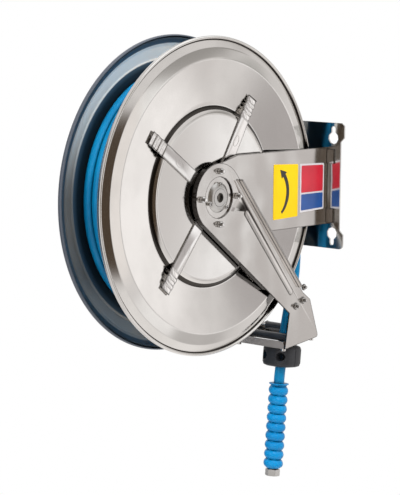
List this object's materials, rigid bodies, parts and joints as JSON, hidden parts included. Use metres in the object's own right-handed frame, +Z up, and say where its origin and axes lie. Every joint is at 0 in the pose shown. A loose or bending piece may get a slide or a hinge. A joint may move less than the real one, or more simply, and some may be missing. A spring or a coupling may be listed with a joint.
{
  "type": "hose reel",
  "caption": "Wall-mounted spring-rewind hose reel with two polished discs, a bracket arm, a roller guide and a stop on the hose.",
  "frame": {"origin": "centre of the wall plate's back face", "axes": "+X into the wall, +Y along the drum axis from the inlet side to the rear, +Z up"},
  "size_m": [0.5684, 0.196, 0.7877],
  "materials": {
    "polished_steel": "mirror-polished stainless steel",
    "plain_steel": "satin stainless steel",
    "spring_steel": "oiled spring steel",
    "brass": "machined",
    "blue_hose": "smooth blue hose",
    "blue_boot": "moulded blue sleeve",
    "black_rubber": "matt moulded rubber",
    "black_nylon": "satin nylon"
  },
  "bodies": {
    "frame": {"wall_plate": "plain_steel", "front_arm": "polished_steel", "rear_arm": "polished_steel", "hollow_shaft": "plain_steel", "shaft_nut": "plain_steel", "spring_arbor": "plain_steel", "pawl_pin": "plain_steel", "outlet_arm": "polished_steel", "arm_bolt_1": "plain_steel", "arm_bolt_2": "plain_steel", "arm_bolt_3": "plain_steel", "arm_bolt_4": "plain_steel", "guide_base": "polished_steel", "guide_cheek": "polished_steel", "left_axle": "plain_steel", "right_axle": "plain_steel", "hose_span": "blue_hose", "stop_half_left": "black_rubber", "stop_half_right": "black_rubber", "stop_screw_front": "plain_steel", "stop_screw_rear": "plain_steel", "free_hose": "blue_hose", "bend_restrictor": "blue_boot", "end_fitting": "plain_steel"},
    "drum": {"front_disc": "polished_steel", "rear_disc": "polished_steel", "drum_core": "plain_steel", "front_hub": "plain_steel", "rear_hub": "plain_steel", "front_bush": "brass", "rear_bush": "brass", "front_strap_1": "polished_steel", "front_strap_2": "polished_steel", "front_strap_3": "polished_steel", "front_strap_4": "polished_steel", "rear_strap_1": "polished_steel", "rear_strap_2": "polished_steel", "rear_strap_3": "polished_steel", "rear_strap_4": "polished_steel", "ratchet_wheel": "spring_steel", "swivel_body": "brass", "front_seal": "black_rubber", "rear_seal": "black_rubber", "outlet_pipe": "brass", "spring_case": "plain_steel", "spring_cover": "plain_steel", "rewind_spring": "spring_steel", "hose_under_layers": "blue_hose", "hose_winding": "blue_hose"},
    "left_roller": {"left_roller": "black_nylon"},
    "right_roller": {"right_roller": "black_nylon"},
    "pawl": {"pawl": "spring_steel"}
  },
  "joints": [
    {"name": "drum_spin", "type": "hinge", "parent": "frame", "child": "drum", "pos_m": [-0.2985, 0, 0], "axis": [0, 1, 0], "continuous": true},
    {"name": "left_roller_spin", "type": "hinge", "parent": "frame", "child": "left_roller", "pos_m": [-0.0905, 0, -0.266], "axis": [0, 1, 0], "continuous": true},
    {"name": "right_roller_spin", "type": "hinge", "parent": "frame", "child": "right_roller", "pos_m": [-0.0515, 0, -0.2565], "axis": [0, 1, 0], "continuous": true},
    {"name": "pawl_click", "type": "hinge", "parent": "frame", "child": "pawl", "pos_m": [-0.22709, 0, 0.01452], "axis": [0, -1, 0], "range_deg": [0, 15], "stiffness_Nm_per_rad": 0.02, "springref_deg": -22.92}
  ]
}
